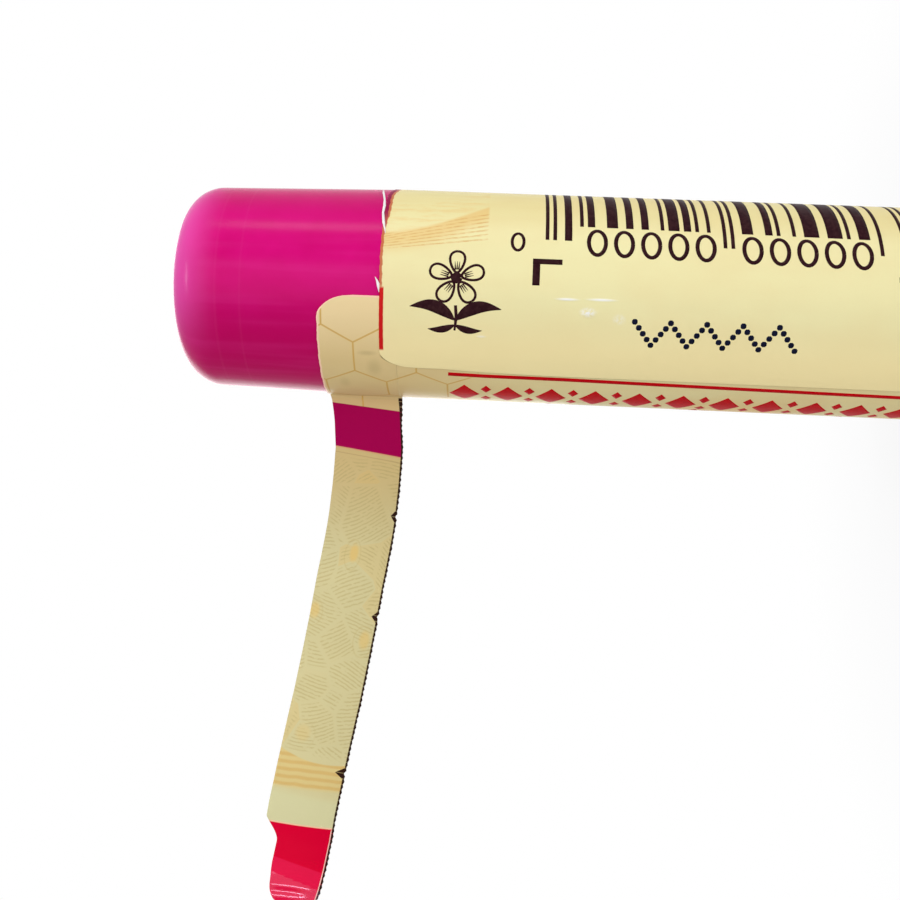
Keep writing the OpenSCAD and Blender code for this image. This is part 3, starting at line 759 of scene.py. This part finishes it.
def build_band():
    """Flap, fold and strip as one sheet, built of rows that run across it from the wheel side."""
    cols = [0, 0.02, 0.05, 0.1] + [0.1 + 0.8 * k / 14 for k in range(1, 14)] + [0.9, 0.95, 0.98, 1.0]
    grids = ([], [], [], [])

    def row(points, depths=None):
        """Points are triples: over, under and map. Depths are mm from the flap's rim; 9 is far from it."""
        for grid, part in zip(grids, zip(*points)):
            grid.append(part)
        grids[3].append([(d, 0) for d in depths or [9] * len(points)])

    # the flap, wrapped round the cap as far as the fold
    fold, rows = 90.3, 84
    for i in range(rows + 1):
        turn = LAP_START + (fold - LAP_START) * (i / rows) ** 1.15
        x = (turn - LAP_START) * ARC
        high = FLAP_HIGH - CORNER_R * corner_drop(max(0.0, 1 - x / 1.7)) + 0.03 * wobble(turn * 0.5, 4.0)
        points = []
        for c in cols:
            z = FLAP_LOW + (high - FLAP_LOW) * c
            on_cap = smooth((z - 52.4) / 1.0)
            r = FLAP_R - 0.023 * (1 - smooth((z - 51.15) / 0.5))
            r += 0.012 * wobble(turn * 0.12 + z * 0.9, 3.0) * on_cap + 0.012 * on_cap
            points.append((at(r, turn, z), at(r - FILM, turn, z), (AXIS_Z - z, turn * ARC)))
        row(points, [min(x, (high - FLAP_LOW) * (1 - c)) for c in cols])
    # the fold: a tight bend outwards, from the flap's height to the strip's
    bend, swing, root_w = 0.3, 92.7, 5.6    # radius, degrees, and the strip's width where it starts
    centre = Vector(at(FLAP_R - FILM / 2, fold, 0)) + Vector((-bend, 0, 0))
    for i in range(1, 9):
        a = math.radians(swing * i / 8)
        mid = centre + Vector((bend * math.cos(a), bend * math.sin(a), 0))
        normal = Vector((math.cos(a), math.sin(a), 0)) * -1
        w = i / 8
        points = []
        for c in cols:
            z = (FLAP_LOW + (FLAP_HIGH - FLAP_LOW) * c) * (1 - w) + (ROOT.z + (c - 0.5) * root_w) * w
            p = Vector((mid.x, mid.y, z))
            points.append((tuple(p + normal * FILM / 2), tuple(p - normal * FILM / 2),
                           (AXIS_Z - z, fold * ARC + math.radians(swing) * bend * w)))
        row(points)
    # the strip, which starts where the fold's last row leaves off
    pos = ROOT.copy()
    u = 0.0
    while u < STRIP_END - 1e-6:
        step = min(0.105, STRIP_END - u)
        head, _, _ = strip_axes(u + step / 2)
        pos = pos + head * step
        u += step
        if u < 0.25:
            continue
        _, across, out = strip_axes(u)
        wide = STRIP_W / 2 + 0.125 * (1 - smooth(u / 2.2))
        low = -wide + tip_loss(u) + torn_side(u)
        high = wide - tip_loss(u) - notch_loss(u)
        points = []
        for c in cols:
            a = low + (high - low) * c
            cup = 0.22 * (1 - (a / wide) ** 2) * smooth((u - 1) / 6)
            cup += 0.1 * wobble(u * 0.35, 5.0) * smooth((u - 2) / 8)
            ridge = (u - 38.1 - 0.12 * (a + 2)) / 0.32
            cup += 0.09 * smooth((3.3 + a) / 3) * math.exp(-ridge * ridge)
            p = pos + across * (a - lerp_table(BOW, u)) + out * cup
            points.append((tuple(p + out * FILM / 2), tuple(p - out * FILM / 2),
                           (AXIS_Z - ROOT.z - a, CREASE * ARC + u)))
        row(points)
    verts, faces, uv, ed, pick = sheet_solid(*grids)
    # the end of the tab, past a line a little aslant, takes the glossier material
    tip = CREASE * ARC + 37.2
    for k, face in enumerate(faces):
        s, arc = uv[face[0]]
        if pick[k] == 0 and arc - 0.15 * (s + STRIP_MID) > tip:
            pick[k] = 2
    band = make("torn_band", verts, faces, [band_mat, back_mat, tab_mat], uv, ed, pick)
    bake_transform(band)
    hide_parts("tear_strip")


# Print: thin closed ribbons that lie on the film

INK, CELL = 0.005, 0.3      # how far the ink stands off the film, and the size of its facets, mm


class Print:
    """One object made of strokes of ink."""

    def __init__(self, name, mat):
        self.name, self.mat, self.verts, self.faces = name, mat, [], []

    def point(self, s, arc, lift):
        turn = arc / ARC
        r = film_r(turn + 360) if turn < LAP_END + 0.8 else INNER_R
        return at(r + lift, turn, AXIS_Z - s)

    def ribbon(self, line, widths):
        """A stroke through (s, arc) points, mm, with one width or one for each point."""
        if not isinstance(widths, (list, tuple)):
            widths = [widths] * len(line)
        fine, w_fine = [], []
        for (a, b), (w0, w1) in zip(zip(line, line[1:]), zip(widths, widths[1:])):
            parts = max(1, math.ceil(math.hypot(b[0] - a[0], b[1] - a[1]) / CELL))
            for k in range(parts):
                fine.append((a[0] + (b[0] - a[0]) * k / parts, a[1] + (b[1] - a[1]) * k / parts))
                w_fine.append(w0 + (w1 - w0) * k / parts)
        fine.append(line[-1])
        w_fine.append(widths[-1])
        columns = max(1, math.ceil(max(w_fine) / CELL))
        n = len(fine)
        self.faces += closed_faces(n, columns + 1, len(self.verts))[0]
        for lift in (INK, -0.01):
            for i, (s, a) in enumerate(fine):
                s0, a0 = fine[max(0, i - 1)]
                s1, a1 = fine[min(n - 1, i + 1)]
                d = math.hypot(s1 - s0, a1 - a0) or 1.0
                ns, na = -(a1 - a0) / d, (s1 - s0) / d
                for c in range(columns + 1):
                    off = w_fine[i] * (c / columns - 0.5)
                    self.verts.append(self.point(s + ns * off, a + na * off, lift))

    def build(self):
        obj = make(self.name, self.verts, self.faces, [self.mat])
        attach(obj, "barrel")


MODULE, FIRST_BAR = 0.271, 6.92     # width of the thinnest bar, mm; place of the first
SKEW = 0.013                        # mm round the tube for each mm along it, as the print runs


def skewed(arc, s):
    return arc + SKEW * (s - FIRST_BAR)


def build_bars():
    """Stripes of made-up widths that code nothing, with long ones at the ends and in the middle."""
    pr = Print("print_bars", dark_mat)
    rng = random.Random(41)
    runs = [(0, 1), (2, 1)]
    for first, last, guards in ((5, 44, (46, 48)), (51, 89, (92, 94))):
        k = first
        while k < last:
            wide = rng.choice((1, 1, 1, 2, 2, 3, 4))
            runs.append((k, wide))
            k += wide + rng.choice((1, 1, 2, 2, 3))
        runs += [(guard, 1) for guard in guards]
    for k, wide in runs:
        middle = FIRST_BAR + MODULE * (k + wide / 2)
        tall = k < 9 or 45 <= k < 50 or k >= 86
        end = skewed((-23.7 if tall else -33.3) * ARC, middle)
        pr.ribbon([(middle, end), (middle, -115 * ARC)], MODULE * wide * 0.97)
    # plain oval marks in the row under the bars, a smaller one before them, and two corner marks
    for first in (10, 50):
        for i in range(5):
            s = FIRST_BAR + MODULE * (first + 7 * i + 3.5)
            pr.ribbon(curve(s, skewed(-31.5 * ARC + 1.12, s), 0.6, 1.02, 0, 360, 26), 0.29)
    pr.ribbon(curve(FIRST_BAR - 7.1 * MODULE, -27.6 * ARC + 0.8, 0.42, 0.7, 0, 360, 22), 0.22)
    for s, way in ((6.36, 1), (33.2, -1)):
        a = skewed(-11.2 * ARC, s)
        pr.ribbon([(s - way * 0.27, a), (s + way * 1.8, a)], 0.4)
        pr.ribbon([(s, a), (s, a + 1.75)], 0.52)
    pr.build()


def leaf(pr, s0, a0, s1, a1, fat, bow=0.0):
    """A pointed leaf between two points, bowed to one side."""
    ds, da = s1 - s0, a1 - a0
    line, widths = [], []
    for k in range(15):
        u = k / 14
        b = bow * math.sin(math.pi * u)
        line.append((s0 + ds * u - da * b, a0 + da * u + ds * b))
        widths.append(0.03 + fat * math.sin(math.pi * u ** 0.85))
    pr.ribbon(line, widths)


def sprig(pr, cs, ca, size):
    """A plain five petal flower on a stem with leaves."""
    for k in range(5):
        a = math.radians(72 * k - 90)
        petal = []
        for i in range(25):
            u = 2 * math.pi * i / 24
            x = size * (0.98 + 0.66 * math.cos(u))
            y = size * 0.56 * math.sin(u) * (0.75 + 0.25 * math.cos(u))
            petal.append((cs + x * math.cos(a) - y * math.sin(a), ca + x * math.sin(a) + y * math.cos(a)))
        pr.ribbon(petal, 0.15 * size)
        for spread in (-0.2, 0, 0.2):
            pr.ribbon([(cs + size * 0.5 * math.cos(a + spread), ca + size * 0.5 * math.sin(a + spread)),
                       (cs + size * math.cos(a + spread * 0.7), ca + size * math.sin(a + spread * 0.7))],
                      [0.1 * size, 0.03])
    pr.ribbon(curve(cs, ca, 0.17 * size, 0.17 * size, 0, 360, 16), 0.34 * size)
    pr.ribbon([(cs, ca + 1.6 * size), (cs + 0.08, ca + 2.3 * size), (cs - 0.02, ca + 3.1 * size)],
              [0.18 * size, 0.2 * size, 0.12 * size])
    for way in (1, -1):
        leaf(pr, cs, ca + 2.5 * size, cs + way * 2.7 * size, ca + 1.75 * size, 0.72 * size, -0.16 * way)
        leaf(pr, cs, ca + 2.75 * size, cs + way * 1.6 * size, ca + 3.05 * size, 0.4 * size, 0.1 * way)


# the two red rules as lines of points: s in mm, and the angle
RULES = (((0.36, 53.1), (3.0, 53.6), (8.6, 53.7), (20.0, 55.0), (33.0, 56.5), (38.5, 57.0)),
         ((0.36, 149.0), (38.5, 152.5)))


def build_print():
    build_bars()
    flower = Print("print_sprigs", dark_mat)
    sprig(flower, 0.8, -0.15, 1.2)
    sprig(flower, 19.0, 198 * ARC, 1.7)
    flower.build()

    # a zigzag of small dots
    dots = Print("print_dots", navy_mat)
    for k in range(37):
        s = 13.4 + 11.3 * k / 36
        a = 15.4 * ARC + 0.25 + 1.65 * abs((k / 4 + 1) % 2 - 1)
        dots.ribbon([(s - 0.2, a), (s - 0.1, a), (s + 0.1, a), (s + 0.2, a)], [0.18, 0.4, 0.4, 0.18])
    dots.build()

    red = Print("print_rules", red_mat)
    for rule in RULES:
        red.ribbon([(s, t * ARC) for s, t in rule], 0.38)
    # bands of lozenges and dots along the rules
    for rule, way in zip(RULES, (1, -1)):
        s = 1.55
        while s < 38:
            near = lerp_table(rule, s) * ARC + way * 1.25
            red.ribbon([(s, near), (s, near + way * 1.45), (s, near + way * 2.9)], [0.05, 2.3, 0.05])
            for off in (0.0, 1.8):
                red.ribbon([(s + 1.62, near + way * off), (s + 1.62, near + way * (off + 0.55)),
                            (s + 1.62, near + way * (off + 1.1))], [0.03, 0.8, 0.03])
            s += 3.25
    for s, size in ((8.0, 0.5), (19.2, 0.66), (30.4, 0.5)):
        mid = 101.5 * ARC
        red.ribbon(curve(s, mid, 0.3 * size, 0.3 * size, 0, 360, 20), 0.6 * size)
        for k in range(8):
            a = math.pi * k / 4
            near, far = 0.75 * size, (3.6 if k % 2 == 0 else 2.7) * size
            leaf(red, s + near * math.cos(a), mid + near * math.sin(a),
                 s + far * math.cos(a), mid + far * math.sin(a), 0.95 * size)
    red.build()


def build_fringe():
    """White core of the film, torn out past the printed edge over the cap's mouth."""
    pr = Print("torn_fringe", torn_mat)
    pr.point = lambda s, arc, lift: at(8.015 + lift, arc / ARC, AXIS_Z - s)
    for line, widths in (
        (((-5.2, -66), (-5.1, -60), (-4.86, -50), (-4.78, -44), (-4.8, -38), (-4.66, -31), (-4.45, -24)),
         (0.08, 0.16, 0.14, 0.2, 0.16, 0.2, 0.04)),
        (((-4.95, 0.0), (-4.8, 2.0), (-4.66, 4.6), (-4.62, 7.6)), (0.03, 0.14, 0.26, 0.08)),
    ):
        pr.ribbon([(s, t * ARC) for s, t in line], widths)
    pr.build()


build_cap()
build_label()
build_band()
build_print()
build_fringe()

for node, mat in (("barrel", barrel_mat), ("turning_wheel", barrel_mat),
                  ("elevator", elevator_mat), ("balm", wax())):
    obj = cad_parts[node]
    obj.data.materials.clear()
    obj.data.materials.append(mat)


# Stage, light and camera

AMBIENT = 0.45      # strength of the world's light on the part


def build_stage():
    """A pale floor that keeps the shadow near the part and is plain white to the camera further off."""
    mesh = bpy.data.meshes.new("floor")
    w = 6.0
    mesh.from_pydata([(-w, -w, 0), (w, -w, 0), (w, w, 0), (-w, w, 0)], [], [(0, 1, 2, 3)])
    floor = bpy.data.objects.new("floor", mesh)
    bpy.context.collection.objects.link(floor)
    mat = bpy.data.materials.new("floor_white")
    mat.use_nodes = True
    tree = mat.node_tree
    tree.nodes.clear()

    def node(kind, **values):
        n = tree.nodes.new(kind)
        for key, value in values.items():
            n.inputs[key].default_value = value
        return n

    def math_node(op, a, b):
        n = tree.nodes.new("ShaderNodeMath")
        n.operation = op
        n.use_clamp = True
        for socket, value in zip(n.inputs, (a, b)):
            if isinstance(value, bpy.types.NodeSocket):
                tree.links.new(value, socket)
            else:
                socket.default_value = value
        return n.outputs[0]

    def seen_directly():
        """1 for rays from the camera and for those that gloss or glass send on."""
        path = tree.nodes.new("ShaderNodeLightPath")
        seen = math_node("MAXIMUM", path.outputs["Is Camera Ray"], path.outputs["Is Glossy Ray"])
        return math_node("MAXIMUM", seen, path.outputs["Is Transmission Ray"])

    out = tree.nodes.new("ShaderNodeOutputMaterial")
    diffuse = node("ShaderNodeBsdfDiffuse", Color=(0.8, 0.8, 0.8, 1))
    glow = node("ShaderNodeEmission", Color=(1, 1, 1, 1), Strength=1.0)
    place = tree.nodes.new("ShaderNodeTexCoord")
    length = tree.nodes.new("ShaderNodeVectorMath")
    length.operation = "LENGTH"
    tree.links.new(place.outputs["Object"], length.inputs[0])
    far = tree.nodes.new("ShaderNodeMapRange")
    far.interpolation_type = "SMOOTHSTEP"
    for key, value in (("From Min", 0.015), ("From Max", 0.07), ("To Min", 0.8), ("To Max", 1.0)):
        far.inputs[key].default_value = value
    tree.links.new(length.outputs["Value"], far.inputs["Value"])
    seen = math_node("MULTIPLY", seen_directly(), far.outputs["Result"])
    mix = tree.nodes.new("ShaderNodeMixShader")
    tree.links.new(seen, mix.inputs[0])
    tree.links.new(diffuse.outputs[0], mix.inputs[1])
    tree.links.new(glow.outputs[0], mix.inputs[2])
    tree.links.new(mix.outputs[0], out.inputs["Surface"])
    mesh.materials.append(mat)

    world = bpy.data.worlds.new("studio")
    bpy.context.scene.world = world
    world.use_nodes = True
    tree = world.node_tree
    tree.nodes.clear()
    out = tree.nodes.new("ShaderNodeOutputWorld")
    mix = tree.nodes.new("ShaderNodeMixShader")
    tree.links.new(seen_directly(), mix.inputs[0])
    for socket, strength in ((mix.inputs[1], AMBIENT), (mix.inputs[2], 1.0)):
        shade = node("ShaderNodeBackground", Color=(1, 1, 1, 1), Strength=strength)
        tree.links.new(shade.outputs[0], socket)
    tree.links.new(mix.outputs[0], out.inputs["Surface"])


def lamp(name, where, size, size_y, level, colour=(1, 1, 1)):
    """A soft lamp aimed at the part. Level is how bright it makes a white card that faces it."""
    aim = Vector((0, 0, 0.045))
    where = Vector(where)
    data = bpy.data.lights.new(name, "AREA")
    data.shape = "RECTANGLE"
    data.size, data.size_y, data.color = size, size_y, colour
    data.energy = level * math.pi ** 2 * (where - aim).length_squared
    obj = bpy.data.objects.new(name, data)
    bpy.context.collection.objects.link(obj)
    obj.location = where
    obj.rotation_mode = "QUATERNION"
    obj.rotation_quaternion = (aim - where).to_track_quat("-Z", "Y")


def build_lights():
    lamp("key", (0.42, -0.18, 0.1), 0.06, 0.2, 0.24)
    lamp("front", (0.02, -0.5, 0.12), 0.4, 0.4, 0.34)
    lamp("top", (0.03, -0.19, 0.47), 0.18, 0.03, 0.25, (0.82, 0.82, 1.0))
    lamp("spark", (0.03, -0.19, 0.47), 0.02, 0.02, 0.08, (0.9, 0.92, 1.0))
    lamp("rear", (-0.1, 0.5, 0.2), 0.5, 0.5, 0.46)


def build_camera():
    """The camera, placed from the stick's turn and roll in the photo and where its aim point lies there."""
    yaw, roll = 0.0422, 0.04669
    picture_px, focal_px = 900, 1023.04
    below, depth = -11.963, 79.878      # the aim point from the camera, mm
    a = Vector((math.cos(yaw) * math.cos(roll), math.cos(yaw) * math.sin(roll), -math.sin(yaw)))
    n = Vector((-math.sin(yaw) * math.cos(roll), -math.sin(yaw) * math.sin(roll), -math.cos(yaw)))
    d = Vector((-math.sin(roll), math.cos(roll), 0))
    right = Vector((-d.x, -n.x, -a.x))
    down = Vector((-d.y, -n.y, -a.y))
    ahead = Vector((-d.z, -n.z, -a.z))
    place = (Vector((0, 0, AXIS_Z)) - (down * below + ahead * depth)) * MM
    data = bpy.data.cameras.new("camera")
    data.sensor_width = 36.0
    data.lens = focal_px * data.sensor_width / picture_px
    data.clip_start, data.clip_end = 0.005, 20
    cam = bpy.data.objects.new("camera", data)
    bpy.context.collection.objects.link(cam)
    basis = Matrix((right, -down, -ahead)).transposed()
    cam.rotation_mode = "QUATERNION"
    cam.matrix_world = Matrix.Translation(place) @ basis.to_4x4()
    bpy.context.scene.camera = cam


build_stage()
build_lights()
build_camera()
bpy.context.scene.view_settings.view_transform = "Standard"
